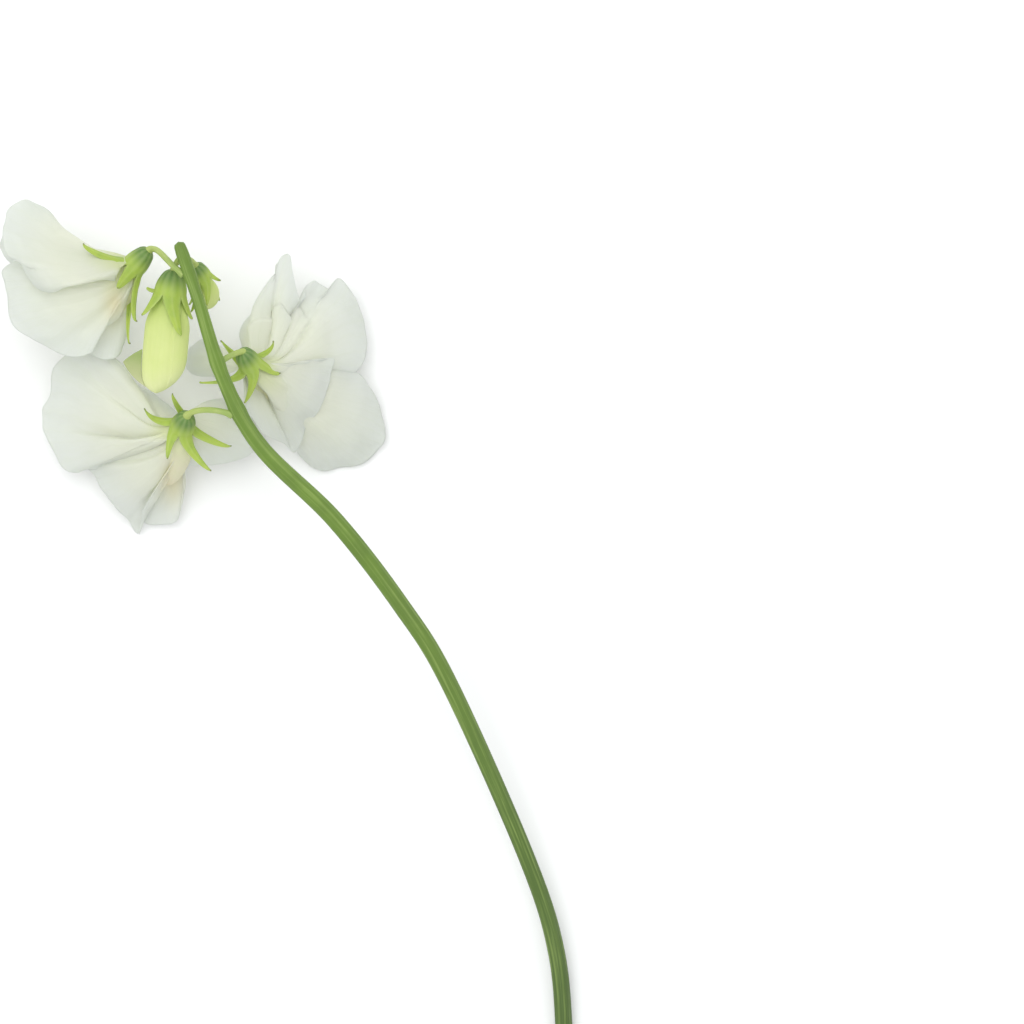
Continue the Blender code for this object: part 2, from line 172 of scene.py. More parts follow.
# Points within a micron become one point, so that seams close and a row of equal points makes a pole.
# marks holds one row for each point.
def weldedMarks(sheet, marks, micron=1e-6):
    points, faces, corners = sheet
    _, first, merged = np.unique(np.round(points / micron), axis=0, return_index=True, return_inverse=True)
    return (points[first], merged.reshape(-1)[faces], corners), marks[first]


# The same for a sheet without marks.
def welded(sheet):
    return weldedMarks(sheet, np.zeros(len(sheet[0])))[0]


# A face's normal, as long as twice its area: the cross product of its diagonals.
def faceCrosses(points, faces):
    return np.cross(points[faces[:, 2]] - points[faces[:, 0]], points[faces[:, 3]] - points[faces[:, 1]])


# The normal of a point is the sum of the normals of its faces, made one long.
def sheetNormals(points, faces):
    crosses = faceCrosses(points, faces)
    normals = np.zeros_like(points)
    for k in range(4):
        np.add.at(normals, faces[:, k], crosses)
    return normals / np.maximum(np.linalg.norm(normals, axis=1, keepdims=True), 1e-12)


# A sheet with a wall: the sheet moved half its thickness out, the same sheet moved in and turned over,
# and a band between them along the free edge. thickness holds one number for each point.
def shellOf(sheet, thickness):
    points, faces, corners = sheet
    half = sheetNormals(points, faces) * thickness[:, None] / 2
    count = len(points)
    edges = np.concatenate([faces[:, [k, (k + 1) % 4]] for k in range(4)])
    edgeCorners = np.concatenate([corners[:, [k, (k + 1) % 4]] for k in range(4)])
    there = edges[:, 0] * count + edges[:, 1]
    back = edges[:, 1] * count + edges[:, 0]
    free = ~np.isin(there, back)
    a, b = edges[free].T
    band = np.stack([b, a, a + count, b + count], axis=1)
    bandCorners = edgeCorners[free][:, [1, 0, 0, 1]]
    return (np.concatenate([points + half, points - half]),
            np.concatenate([faces, faces[:, ::-1] + count, band]),
            np.concatenate([corners, corners[:, ::-1], bandCorners]))


# The object of a sheet. Its faces are turned outwards if the closed body's volume comes out negative, and
# a face with two corners in one place becomes a triangle. marks are numbers that its finish reads.
def addPiece(name, sheet, finish, marks=None):
    points, faces, corners = sheet
    if (faceCrosses(points, faces) * points[faces].mean(axis=1)).sum() < 0:
        faces, corners = faces[:, ::-1], corners[:, ::-1]
    twice = faces == np.roll(faces, 1, axis=1)
    pinched = twice.any(axis=1)
    threes = faces[pinched][~twice[pinched]].reshape(-1, 3)
    mesh = bpy.data.meshes.new(name)
    mesh.from_pydata(points.tolist(), [], faces[~pinched].tolist() + threes.tolist())
    layer = mesh.uv_layers.new(name="petalMap")
    places = np.concatenate([corners[~pinched].reshape(-1, 2), corners[pinched][~twice[pinched]]])
    layer.data.foreach_set("uv", places.astype(np.float32).ravel())
    for markName, values in (marks or {}).items():
        mark = mesh.attributes.new(markName, "FLOAT", "POINT")
        mark.data.foreach_set("value", values.astype(np.float32))
    mesh.polygons.foreach_set("use_smooth", np.ones(len(mesh.polygons), bool))
    mesh.materials.append(finish)
    mesh.update()
    piece = bpy.data.objects.new(name, mesh)
    bpy.context.scene.collection.objects.link(piece)
    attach(piece, "root")
    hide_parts(name.replace("Visual", ""))
    return piece


# Finishes. Places on a piece come from its own map, u across it and v along it, or from Object
# coordinates.
def newFinish(name):
    finish = bpy.data.materials.new(name)
    finish.use_nodes = True
    tree = finish.node_tree
    tree.nodes.clear()
    return finish, tree


def addNode(tree, kind, inputs=None, **settings):
    node = tree.nodes.new(kind)
    for key, value in settings.items():
        setattr(node, key, value)
    for key, value in (inputs or {}).items():
        if isinstance(value, bpy.types.NodeSocket):
            tree.links.new(value, node.inputs[key])
        else:
            node.inputs[key].default_value = value
    return node


def maths(tree, operation, a, b=0.0):
    return addNode(tree, "ShaderNodeMath", {0: a, 1: b}, operation=operation).outputs[0]


# An even-ended rise from newLow, at low, to newHigh, at high.
def ranged(tree, value, low, high, newLow=0.0, newHigh=1.0):
    inputs = {"Value": value, "From Min": low, "From Max": high, "To Min": newLow, "To Max": newHigh}
    return addNode(tree, "ShaderNodeMapRange", inputs, interpolation_type="SMOOTHSTEP").outputs[0]


def mixed(tree, share, first, second):
    node = addNode(tree, "ShaderNodeMix", data_type="RGBA")
    for socket, value in ((node.inputs[0], share), (node.inputs[6], first), (node.inputs[7], second)):
        if isinstance(value, bpy.types.NodeSocket):
            tree.links.new(value, socket)
        else:
            socket.default_value = value if isinstance(value, float) else (*value, 1)
    return node.outputs[2]


def noise(tree, where, scale, detail=3.0, roughness=0.5):
    inputs = {"Vector": where, "Scale": scale, "Detail": detail, "Roughness": roughness}
    return addNode(tree, "ShaderNodeTexNoise", inputs).outputs["Fac"]


# Lines that run along v: u times count gives a line's number, and the distance from the middle between
# two lines is sharpened to leave a thin one. wander bends them by a share of their spacing.
def veinLines(tree, u, count, wander, sharp):
    phase = maths(tree, "ADD", maths(tree, "MULTIPLY", u, float(count)), wander)
    away = maths(tree, "ABSOLUTE", maths(tree, "SUBTRACT", maths(tree, "FRACT", phase), 0.5))
    return ranged(tree, away, 0.5 - 0.5 * sharp, 0.5)


def bumped(tree, height, strength, depth, under=None):
    inputs = {"Height": height, "Strength": strength, "Distance": depth}
    if under is not None:
        inputs["Normal"] = under
    return addNode(tree, "ShaderNodeBump", inputs).outputs[0]


def ownMap(tree):
    place = addNode(tree, "ShaderNodeUVMap", uv_map="petalMap").outputs[0]
    split = addNode(tree, "ShaderNodeSeparateXYZ", {0: place})
    return split.outputs[0], split.outputs[1]


def stretchedMap(tree, across, along):
    place = addNode(tree, "ShaderNodeUVMap", uv_map="petalMap").outputs[0]
    return addNode(tree, "ShaderNodeMapping", {"Vector": place, "Scale": (across, along, 1)}).outputs[0]


def objectPlace(tree):
    return addNode(tree, "ShaderNodeTexCoord").outputs["Object"]


def ownMark(tree, name):
    return addNode(tree, "ShaderNodeAttribute", attribute_name=name).outputs["Fac"]


# A tint laid over a colour by a pattern, times strength.
def tinted(tree, pattern, colour, tint, strength):
    return mixed(tree, maths(tree, "MULTIPLY", pattern, strength), colour, tint)


# Soft clouds of a tint: a noise of the given scale, from start on. A look's fades say where along the piece
# one colour gives way to the next.
def clouded(tree, where, colour, tint, scale, start, strength):
    cloud = ranged(tree, noise(tree, where, scale, 4.0, 0.6), start, 0.7)
    return tinted(tree, cloud, colour, tint, strength)


# A skin's relief, gloss and light. grain is a noise's scale and detail and its bump's strength and depth,
# relief is the given height's bump, rough is a noise's scale and the two roughnesses it drifts between,
# and through is the share of the light that leaves on the far side.
def addSkin(tree, where, colour, height, look):
    scale, detail, strength, depth = look["grain"]
    grain = bumped(tree, noise(tree, where, scale, detail), strength, depth)
    normal = bumped(tree, height, *look["relief"], grain)
    scale, low, high = look["rough"]
    rough = ranged(tree, noise(tree, where, scale), 0.3, 0.7, low, high)
    surface = addNode(tree, "ShaderNodeBsdfPrincipled",
                      {"Base Color": colour, "Roughness": rough, "Normal": normal,
                       "Specular IOR Level": look["gloss"], "Sheen Weight": look["sheen"],
                       "Sheen Roughness": 0.5})
    glow = addNode(tree, "ShaderNodeBsdfTranslucent", {"Color": colour, "Normal": normal})
    both = addNode(tree, "ShaderNodeMixShader",
                   {0: look["through"], 1: surface.outputs[0], 2: glow.outputs[0]})
    addNode(tree, "ShaderNodeOutputMaterial", {"Surface": both.outputs[0]})


# peach is painted light: the keel's colour showing through a wing.
petalLook = dict(
    body=(0.905, 0.915, 0.82), claw=(0.86, 0.89, 0.60), rim=(0.855, 0.875, 0.84), peach=(0.90, 0.83, 0.58),
    clawFade=(0.08, 0.42), rimFade=(0.55, 1.0), cloud=(0.78, 0.84, 0.66), clouds=(90.0, 0.35, 0.10),
    vein=(0.80, 0.84, 0.68), veins=30, veinShare=0.10, through=0.48, gloss=0.25, sheen=0.15,
    grain=(2600.0, 2.0, 0.25, 0.00006), relief=(0.20, 0.00012), rough=(400.0, 0.52, 0.68))


# Greenish at the claw and paler to the rim, with veins, finer ones between them further out, and a peach
# patch where a petal is marked for it: painted light, the keel's colour showing through the wing.
def makePetalFinish(look):
    finish, tree = newFinish("ivoryPetal")
    u, v = ownMap(tree)
    where = objectPlace(tree)
    wander = maths(tree, "MULTIPLY", noise(tree, where, 160.0), 1.6)
    main = veinLines(tree, u, look["veins"], wander, 0.34)
    fine = veinLines(tree, u, look["veins"] * 3, maths(tree, "MULTIPLY", wander, 2.2), 0.5)
    fine = maths(tree, "MULTIPLY", fine, ranged(tree, v, 0.35, 0.8, 0.0, 0.5))
    veins = maths(tree, "MAXIMUM", main, fine)
    colour = mixed(tree, ranged(tree, v, *look["clawFade"]), look["claw"], look["body"])
    colour = mixed(tree, ranged(tree, v, *look["rimFade"]), colour, look["rim"])
    colour = clouded(tree, where, colour, look["cloud"], *look["clouds"])
    colour = tinted(tree, veins, colour, look["vein"], look["veinShare"])
    colour = mixed(tree, ownMark(tree, "keelShowThrough"), colour, look["peach"])
    addSkin(tree, where, colour, veins, look)
    return finish


budSkin = dict(footFade=(0.12, 0.55), tipFade=(0.6, 1.0), clouds=(160.0, 0.35, 0.25), veinShare=0.07,
               gloss=0.35, sheen=0.1,
               grain=(2200.0, 2.0, 0.25, 0.00006), relief=(0.15, 0.00012), rough=(500.0, 0.46, 0.62))
budLook = dict(budSkin, foot=(0.66, 0.78, 0.24), body=(0.80, 0.87, 0.38), tip=(0.85, 0.88, 0.50),
               veins=26, through=0.25)
keelLook = dict(budSkin, foot=(0.84, 0.87, 0.55), body=(0.90, 0.87, 0.66), tip=(0.90, 0.82, 0.60),
                veins=18, through=0.35)
# The flap's olive, darker than the bud, is painted shade on the wing's edge.
flapShadedLook = dict(budSkin, foot=(0.46, 0.56, 0.22), body=(0.62, 0.66, 0.36), tip=(0.72, 0.74, 0.46),
                veins=10, through=0.35)


# From the foot's colour by the body's to the tip's, with clouds and faint lines of the foot's colour.
def makeBudFinish(name, look):
    finish, tree = newFinish(name)
    u, v = ownMap(tree)
    where = objectPlace(tree)
    veins = veinLines(tree, u, look["veins"], noise(tree, where, 200.0), 0.4)
    colour = mixed(tree, ranged(tree, v, *look["footFade"]), look["foot"], look["body"])
    colour = mixed(tree, ranged(tree, v, *look["tipFade"]), colour, look["tip"])
    colour = clouded(tree, where, colour, look["foot"], *look["clouds"])
    colour = tinted(tree, veins, colour, look["foot"], look["veinShare"])
    addSkin(tree, where, colour, veins, look)
    return finish


# The foot's dark colour is partly the calyx's own and partly painted shade.
calyxLook = dict(
    foot=(0.16, 0.30, 0.08), bell=(0.50, 0.66, 0.115), lobe=(0.55, 0.69, 0.125), cloud=(0.36, 0.54, 0.12),
    edge=(0.74, 0.82, 0.38), tip=(0.30, 0.31, 0.16), through=0.30, gloss=0.35, sheen=0.0,
    footFade=(0.05, 0.27), lobeFade=(0.30, 0.75), tipFade=(0.93, 1.0), clouds=(350.0, 0.42, 0.40),
    ribShare=0.45,
    grain=(2400.0, 2.0, 0.35, 0.00008), relief=(0.35, 0.00012), rough=(600.0, 0.42, 0.60))


# Dark at the foot, partly its own colour and partly painted shade, then green, paler on ribs and edges,
# and brown at the very tips.
def makeCalyxFinish(look):
    finish, tree = newFinish("calyxGreen")
    where = objectPlace(tree)
    along = ownMark(tree, "along")
    colour = mixed(tree, ranged(tree, along, *look["footFade"]), look["foot"], look["bell"])
    colour = mixed(tree, ranged(tree, along, *look["lobeFade"]), colour, look["lobe"])
    colour = clouded(tree, where, colour, look["cloud"], *look["clouds"])
    colour = tinted(tree, ownMark(tree, "rib"), colour, look["edge"], look["ribShare"])
    colour = mixed(tree, ranged(tree, along, *look["tipFade"], 0.0, 0.8), colour, look["tip"])
    streak = noise(tree, stretchedMap(tree, 90.0, 5.0), 1.0)
    addSkin(tree, where, colour, streak, look)
    return finish


stalkSkin = dict(cut=(0.55, 0.62, 0.36), highFade=(0.0, 0.75), streakFade=(0.45, 0.75), streakShare=0.7,
                 clouds=(130.0, 0.35, 0.25), through=0.06, gloss=0.25, sheen=0.0,
                 grain=(1800.0, 3.0, 0.3, 0.00008), relief=(0.4, 0.00015), rough=(500.0, 0.42, 0.58))
stemLook = dict(stalkSkin, low=(0.085, 0.14, 0.036), high=(0.165, 0.27, 0.045), streak=(0.34, 0.46, 0.13))
stalkLook = dict(stalkSkin, low=(0.32, 0.44, 0.12), high=(0.44, 0.54, 0.15), streak=(0.56, 0.62, 0.24))


# Darker low down, with long pale streaks and soft clouds, and the cut face pale.
def makeStalkFinish(name, look):
    finish, tree = newFinish(name)
    v = ownMap(tree)[1]
    where = objectPlace(tree)
    streak = noise(tree, stretchedMap(tree, 16.0, 6.0), 1.0, 4.0, 0.6)
    colour = mixed(tree, ranged(tree, v, *look["highFade"]), look["low"], look["high"])
    streaks = ranged(tree, streak, *look["streakFade"], 0.0, look["streakShare"])
    colour = mixed(tree, streaks, colour, look["streak"])
    colour = clouded(tree, where, colour, look["low"], *look["clouds"])
    colour = mixed(tree, ownMark(tree, "cut"), colour, look["cut"])
    addSkin(tree, where, colour, streak, look)
    return finish


petalFinish = makePetalFinish(petalLook)
budFinish = makeBudFinish("budYellowGreen", budLook)
keelFinish = makeBudFinish("keelCream", keelLook)
flapFinish = makeBudFinish("flapShadedOlive", flapShadedLook)
calyxFinish = makeCalyxFinish(calyxLook)
stemFinish = makeStalkFinish("stemGreen", stemLook)
stalkFinish = makeStalkFinish("stalkGreen", stalkLook)
print("finishes")


# Petals, in millimetres from the foot of the calyx. rays run from the claw to the rim and rings cross
# them. A ray keeps the claw's way over lead, less at the sides, and meets the rim straight over tail.
petalBuild = dict(
    rays=141, rings=84, clawRings=12, crowding=1.15, lead=0.34, sideLead=0.6, tail=0.35,
    wall=0.26, rimWall=0.12, rimRings=10,  # the wall thins over the last rings
    foldRise=0.25, foldFall=(-0.2, 0.05), grooveWide=0.06,
    shelfRise=(-0.35, -0.04), shelfDrop=(-0.02, 0.015), shelfFade=0.1,
    heightsFrom=(0.08, 0.85),  # where folds and ruffles start, and where they are full
    lumps=[(0.30, 12, 0.05, 0.5), (0.12, 5, 0.3, 1.0)],  # height, wavelength, start and full height
    sideFade=8)  # heights die out at the side edges as this power
# Claws lie on a horn round the calyx's axis: places are how far forward and how far out, middle is the
# turn from the top, and spread is half the claw's turn at its foot and where the blade starts.
standardClaw = dict(places=[(2.0, 1.0), (5.2, 2.15), (7.8, 3.6)], middle=0.0, spread=(0.5, 1.25))
wingClaw = dict(places=[(2.0, 0.8), (5.2, 1.75), (7.8, 2.5)], middle=1.75, spread=(0.5, 0.95))

# A rim's last number is how far the blade's middle bulges to the petal's outer side on the way to that
# place, or along bulges. A fold has its place across at the claw and at the rim (-1 to 1), its half
# width, its height to the outer side, and where it starts and ends. A ruffle has its waves across, its
# height and its phase. A shelf's places are across and along. The peach patch, painted light where the
# keel shows through the wing, has its middle, its reach both ways and its strength.
standards = {
    "third": dict(
        rim=[(-9, -10, -12, 1), (-16.5, -11.5, -20, 2), (-24.5, -10.5, -22, 2), (-32, -4.5, -20, 2),
             (-36, 0.5, -13, 2), (-36, 2.5, -10, 1), (-34, 6.5, -8, 1), (-31, 10, -7, 0),
             (-28.5, 11, -6, 0), (-30, 12, -5, 0), (-32, 11.5, -4, 0), (-34, 10, -3, 2),
             (-34.5, 7.5, -1, 4), (-35, 4, 2, 6), (-34, -1, 4, 8), (-31, -3, 5, 8), (-29, -6, 5.5, 8),
             (-27, -8.5, 5.5, 8), (-25, -9.5, 5, 8), (-22.5, -9.5, 5, 7), (-20, -8.5, 5.5, 6),
             (-17, -8, 4.5, 5), (-12.5, -7, 3, 4), (-8, -7.5, 0.5, 2)],
        folds=[(0.3, 0.52, 0.10, 0.9, 0.2, 1.0), (0.5, 0.78, 0.08, -0.8, 0.3, 1.0)],
        ruffle=[(3, 0.4, 0.3), (7, 0.2, 1.1)], sideways=True, seed=31,
        claw=dict(places=[(2.0, 1.1), (5.0, 2.35), (6.9, 4.8)], middle=0.0, spread=(0.5, 1.15))),
    "first": dict(
        rim=[(-1, -9.5, -11, 0), (0.5, -12, -14, 1), (4, -12, -16, 2), (8, -11, -17, 2),
             (12.5, -10, -18, 2), (15.5, -8, -18.5, 2), (16.5, -4.5, -18.5, 2), (14, 1, -18, 2),
             (10, 4.5, -17, 1), (6, 4, -16, 0), (2, 1, -15.5, 0), (-1.5, 0, -16, 0), (-4.5, 1.5, -16, 0),
             (-8.5, 5, -16, 0), (-11.5, 7.5, -16, 0), (-14, 10.5, -15.5, 1), (-17, 13.5, -14, 2),
             (-19.5, 15.5, -12, 3), (-23, 16.5, -12.5, 3), (-27, 16, -13.5, 3), (-30, 14, -14.5, 2),
             (-32.5, 11, -15.5, 3), (-33.5, 5.5, -17, 2), (-35.5, 2, -17.5, 0), (-35.5, -0.5, -18, -1),
             (-35.5, -3.5, -17.5, 1), (-33.5, -8, -17.5, 3), (-31.5, -11.5, -18, 3), (-29.5, -13, -18, 2),
             (-27, -13, -18, 2), (-25, -12, -18, 2), (-20.5, -12.5, -18, 2), (-16.5, -11.5, -16.5, 1),
             (-11.5, -10, -14, 1), (-7.5, -8, -11, 1)],
        folds=[(0.05, 0.12, 0.06, 1.8, 0.05, 1.0), (0.5, 0.51, 0.08, -0.8, 0.1, 1.1),
               (0.75, 0.70, 0.10, 0.6, 0.3, 1.0), (0.25, 0.30, 0.10, -0.5, 0.3, 1.0)],
        ruffle=[(4, 0.7, 0.8), (9, 0.3, 2.0)], midrib=0.3, seed=17),
    "second": dict(
        rim=[(18, -5.5, -15, 0), (24, -6, -20, 1), (27.5, -3.5, -22.5, 2), (29.5, 1.5, -23.5, 2),
             (29, 7.5, -23.5, 2), (27.5, 12, -23, 2), (25, 15.5, -22, 1), (22.5, 18, -20.5, 0),
             (21, 15.5, -19.5, 1), (18.5, 16.5, -19.5, 1), (17, 17.5, -18.5, 1), (15, 16, -17.5, 0),
             (15, 13.5, -16, 0), (14.5, 12, -15, 0), (12.5, 15.5, -14.5, 0), (11.5, 20, -14.5, 1),
             (11, 23.5, -15, 1), (9, 23, -14.5, 0), (8, 21.5, -13.5, 0), (8, 19.5, -13.5, 1),
             (6, 17.5, -13.5, 3), (3.5, 14, -14, 4), (2.5, 9.5, -14.5, 4), (0.5, 6.5, -15.5, 3),
             (-0.5, 4, -16.5, 2), (-0.5, 1, -17.5, 1), (-3.5, -0.5, -18.5, 1), (-6.5, 0.5, -19.5, 1),
             (-9.5, 3.5, -20, 1), (-12, 2, -21, 1), (-13.5, -0.5, -21, 1), (-13.5, -3.5, -21, 1),
             (-11, -5.5, -20, 0), (-6, -6, -17, 0)],
        folds=[(-0.14, -0.13, 0.05, -1.0, 0.3, 1.1), (0.0, 0.12, 0.08, 0.6, 0.3, 1.0),
               (-0.3, -0.31, 0.05, -0.6, 0.5, 1.1), (-0.5, -0.52, 0.10, 0.6, 0.3, 1.0)],
        ruffle=[(5, 0.35, 0.2), (9, 0.12, 1.4)], midrib=0.3, seed=23,
        shelf=dict(high=1.3, places=[(-0.38, 0.62), (-0.27, 0.70), (-0.15, 0.78), (-0.03, 0.70),
                                     (0.1, 0.56), (0.28, 0.54), (0.42, 0.62)])),
}
# The wings' peach patches are painted light: the keel's colour showing through them.
leftWings = {
    "third": dict(
        rim=[(-17, -2.5, -2, 0), (-26.5, -1.5, -4, 2), (-33, -3, -4, 4), (-35.5, -5, -3, 5),
             (-35, -8, -2, 5), (-34, -11, -1, 5), (-33.5, -16, -0.5, 4), (-31.5, -19, -0.5, 4),
             (-25.5, -22.5, -0.5, 3), (-21, -25, -1, 2), (-17.5, -25.5, -1, 2), (-14.5, -24.5, -0.5, 2),
             (-13, -22, -0.5, 2), (-11.5, -19, -1, 2), (-9, -17.5, -1.5, 2), (-7, -16, -2, 1)],
        folds=[(0.2, 0.3, 0.10, 0.6, 0.2, 1.0)],
        ruffle=[(3, 0.4, 1.2)], seed=41, keelShowThrough=((-8.3, -12.6), (2.6, 4.0), 0.55)),
    "first": dict(
        rim=[(-8.5, -5, -10.5, 0), (-15, -3.5, -14, 0), (-21, -6, -17, 0), (-24.5, -9, -19.5, 1),
             (-25, -12, -20, 1), (-23.5, -14, -19.5, 2), (-21, -18, -20, 2), (-18, -21.5, -21, 2),
             (-15.5, -24, -22.5, 1), (-14.5, -25.5, -24, 0), (-13, -28.5, -26, 0), (-12, -26.5, -23.5, 0),
             (-11.5, -23, -20.5, 2)],
        folds=[(-0.2, -0.1, 0.12, 0.5, 0.3, 1.0)],
        ruffle=[(3, 0.3, 0.7)], seed=43, keelShowThrough=((-4.0, -16.0), (2.6, 5.0), 0.6)),
    "second": dict(
        rim=[(13, -4.5, -9, 1), (17.5, -2.5, -11, 2), (22, -1.5, -13, 2), (21, -6, -13, 3),
             (19, -11.5, -13, 4), (17, -15.5, -13.5, 4), (15, -19, -15.5, 4), (13.5, -22.5, -18, 3),
             (12, -24, -20, 2), (10, -22, -18, 3), (7.5, -21, -16, 3), (5.5, -20, -14, 3),
             (3, -17.5, -11, 3), (1, -14.5, -9, 3), (0.5, -12.5, -8, 2), (2, -10, -7.5, 1)],
        folds=[(0.1, 0.2, 0.1, 0.6, 0.3, 1.0)],
        ruffle=[(3, 0.3, 0.7), (8, 0.2, 0.1)], seed=47, bulges=(0.0, 0.0, 1.0),
        claw=dict(places=[(2.0, 1.0), (5.2, 2.0), (7.8, 3.0)], middle=0.5, spread=(0.5, 1.1))),
}
rightWings = {
    "third": dict(
        rim=[(-12, -6, -12, 0), (-17, -10, -12.5, 0), (-18.5, -16.5, -10, 0), (-17.5, -22, -6.5, 0),
             (-13, -25.5, -5, 0), (-9.5, -26, -5, 0), (-7.5, -25, -6, 0), (-6, -23, -8.5, 1),
             (-5.5, -16.5, -11.5, 1), (-5.5, -12, -11.5, 1)],
        folds=[(0.2, 0.3, 0.1, 0.6, 0.3, 1.0)],
        ruffle=[(3, 0.5, 0.4), (6, 0.2, 0.9)], seed=53, keelShowThrough=((-10.0, -12.5), (3.0, 4.2), 0.3)),
    "first": dict(
        rim=[(-1, -8, -13, 0), (-1.5, -12, -16.5, 1), (-1.5, -18, -20, 1), (-2, -23, -22.5, 1),
             (-3.5, -25.5, -23.5, 1), (-6.5, -26, -24.5, 0), (-10.5, -25.5, -25, 0), (-11.5, -22, -24, 0),
             (-10.5, -15.5, -21, 0), (-8.5, -10.5, -17, 0)],
        folds=[(0.0, 0.0, 0.1, 0.5, 0.3, 1.0)],
        ruffle=[(3, 0.4, 0.4), (6, 0.2, 0.9)], seed=59, keelShowThrough=((-4.0, -16.0), (2.6, 5.0), 0.5)),
    "second": dict(
        rim=[(19, -3.5, -19, 0), (24.5, -4.5, -21, 1), (28.5, -6, -22.5, 2), (32, -10.5, -24.5, 2),
             (34, -16.5, -26, 2), (33, -22, -27, 1), (29.5, -26, -27.5, 1), (24.5, -28, -27.5, 1),
             (19, -28.5, -27.5, 1), (15, -26, -27.5, 1), (13, -23, -26.5, 1), (13, -18.5, -25, 1),
             (13.5, -15.5, -23, 0), (15, -12, -21, 0)],
        folds=[(0.0, 0.0, 0.1, 0.8, 0.3, 1.0), (0.5, 0.6, 0.1, -0.5, 0.3, 1.0)],
        ruffle=[(3, 0.6, 0.4), (7, 0.3, 0.9)], seed=61,
        claw=dict(places=[(2.0, 0.8), (5.2, 1.6), (7.8, 2.3)], middle=1.9, spread=(0.5, 0.9))),
}


# Heights over a blade. Each fold is a bell curve across times a window along, and each ruffle is a wave
# across that grows with the third power of the way to the rim. A midrib is a narrow groove. A shelf rises
# along the blade to a line through its places, and drops sharply past it.
def bladeHeights(across, share, petal):
    build = petalBuild
    fallFrom, fallTo = build["foldFall"]
    heights = np.zeros((len(share), len(across)))
    for clawPlace, rimPlace, wide, high, start, end in petal["folds"]:
        middle = clawPlace + (rimPlace - clawPlace) * share[:, None]
        rise = smoothStep(start, start + build["foldRise"], share)
        window = rise * (1 - smoothStep(end + fallFrom, end + fallTo, share))
        heights += high * np.exp(-((across - middle) / wide)**2) * window[:, None]
    for waves, high, phase in petal["ruffle"]:
        heights += high * np.sin(np.pi * waves * across + 2 * np.pi * phase) * share[:, None]**3
    if "shelf" in petal:
        line = np.array(petal["shelf"]["places"])
        past = share[:, None] - np.interp(across, *line.T)
        step = smoothStep(*build["shelfRise"], past) * (1 - smoothStep(*build["shelfDrop"], past))
        first, last = line[[0, -1], 0]
        fade = build["shelfFade"]
        near = smoothStep(first, first + fade, across) * (1 - smoothStep(last - fade, last, across))
        heights += petal["shelf"]["high"] * step * near
    groove = petal.get("midrib", 0) * np.exp(-(across / build["grooveWide"])**2)
    return heights - groove * np.sin(np.pi * share)[:, None]


# Rows of a claw: a point is the place on the axis, plus the distance out along a way that is turned by
# the claw's middle and the point's own share of the spread. side is 1 for a left petal and -1 for a right
# one.
def clawStrip(claw, side, across, axes, seat):
    forward, left, up = axes
    rows = petalBuild["clawRings"]
    route = smoothRoute(claw["places"], rows)
    turn = claw["middle"] + across * np.linspace(*claw["spread"], rows)[:, None]
    out = np.cos(turn)[:, :, None] * up + side * np.sin(turn)[:, :, None] * left
    return seat + (route[:, :1, None] * forward + route[:, 1:, None] * out) * mm


# A claw that opens into a fan. Every ray is a cubic curve that leaves along the claw and ends on the rim,
# and its middle moves out by the rim's bulge, as half a sine wave. A sideways petal bulges to its two
# sides instead. The heights and layers of soft noise are added along the normals, and die out at its
# sides.
def petalGrid(claw, side, petal, seat, axes, outWay, sideWay):
    build = petalBuild
    across = np.linspace(-1, 1, build["rays"])
    share = np.linspace(0, 1, build["rings"] + 1)[1:]**build["crowding"]
    strip = clawStrip(claw, side, across, axes, seat)
    rim = smoothRoute(petal["rim"], build["rays"])
    ends = seat + rim[:, :3] * mm
    start = strip[-1]
    reach = np.linalg.norm(ends - start, axis=1)[:, None]
    kept = build["lead"] * (1 - build["sideLead"] * across**2)[:, None]
    lead = start + kept * reach * unit(strip[-1] - strip[-2])
    bow = ends - build["tail"] * (ends - start)
    t = share[:, None, None]
    blade = bezier(start, lead, bow, ends, t)
    bulgeWay = np.tanh(3 * across)[:, None] * sideWay if petal.get("sideways") else outWay
    blade = blade + rim[:, 3:] * mm * np.sin(np.pi * t) * bulgeWay
    grid = np.concatenate([strip, blade])
    normals = unit(np.cross(np.gradient(grid, axis=1), np.gradient(grid, axis=0)))
    if (normals[-20:] @ outWay).sum() < 0:  # the rings near the rim tell which side is the outer one
        normals = -normals
    heights = bladeHeights(across, share, petal) * smoothStep(*build["heightsFrom"], share)[:, None]
    for layer, (high, wavelength, begin, full) in enumerate(build["lumps"]):
        lumps = softNoise(blade, wavelength * mm, petal["seed"] + layer)
        heights += high * lumps * smoothStep(begin, full, share)[:, None]
    heights *= 1 - across**build["sideFade"]
    grid[build["clawRings"]:] += normals[build["clawRings"]:] * heights[:, :, None] * mm
    return grid


# A petal with its wall, which thins towards the rim, and its painted peach patch, where the keel shows
# through the wing: a bell-shaped spot round a place.
def addPetal(name, grid, petal, seat):
    points, faces, corners = gridSheet(grid)
    rows, columns = grid.shape[:2]
    fromRim = np.minimum(1, np.arange(rows)[::-1][:, None] / petalBuild["rimRings"]) * np.ones(columns)
    thickness = (petalBuild["rimWall"] + (petalBuild["wall"] - petalBuild["rimWall"]) * fromRim) * mm
    points, faces, corners = shellOf((points, faces, corners), thickness.reshape(-1))
    keelShowThrough = np.zeros(len(points))
    if "keelShowThrough" in petal:
        (x, y), (wide, tall), strength = petal["keelShowThrough"]
        away = (points[:, :2] - seat[:2]) / mm - (x, y)
        keelShowThrough = strength * np.exp(-(away[:, 0] / wide)**2 - (away[:, 1] / tall)**2)
    addPiece(name, (points, faces, corners), petalFinish, {"keelShowThrough": keelShowThrough})


